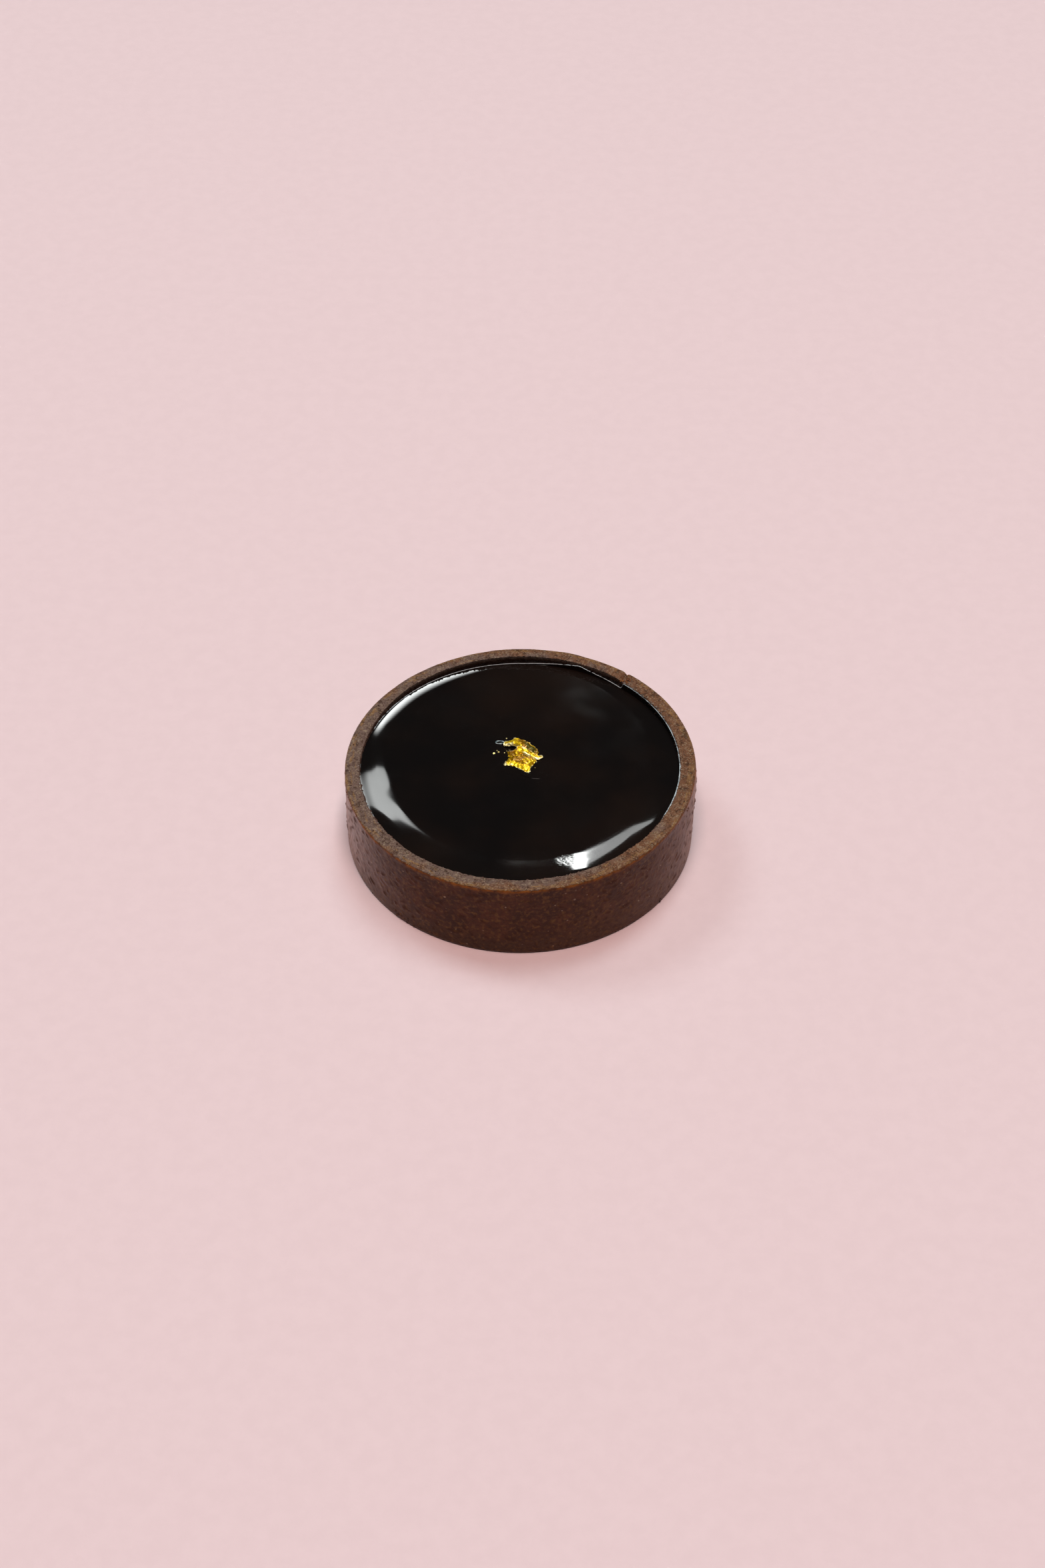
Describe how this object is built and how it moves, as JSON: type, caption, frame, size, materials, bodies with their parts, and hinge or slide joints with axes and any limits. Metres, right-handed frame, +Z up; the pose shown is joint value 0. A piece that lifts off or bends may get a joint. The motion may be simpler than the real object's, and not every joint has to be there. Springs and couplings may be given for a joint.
{
  "type": "chocolate tart",
  "caption": "Round straight-sided chocolate tart: a dark baked pastry case filled to just under its rim with glossy chocolate, topped with a crumpled scrap of gold leaf.",
  "frame": {"origin": "centre of the flat underside, which is also the bottom centre of the bounding box", "axes": "+Z up through the filling; +X to the side where the rim stands slightly higher; the rim's seam lies between +X and +Y, and -Y is the front"},
  "size_m": [0.0802, 0.0798, 0.0208],
  "materials": {
    "baked_crust": "dark baked chocolate shortcrust, fine-grained, with a light satin sheen on the side and a dry filed rim",
    "chocolate_glaze": "very dark mirror glaze, smooth and wet-looking",
    "gold_leaf": "edible gold leaf, crumpled and bright"
  },
  "bodies": {
    "root": {"tart_shell": "baked_crust", "chocolate_filling": "chocolate_glaze", "gold_leaf": "gold_leaf"}
  },
  "joints": []
}
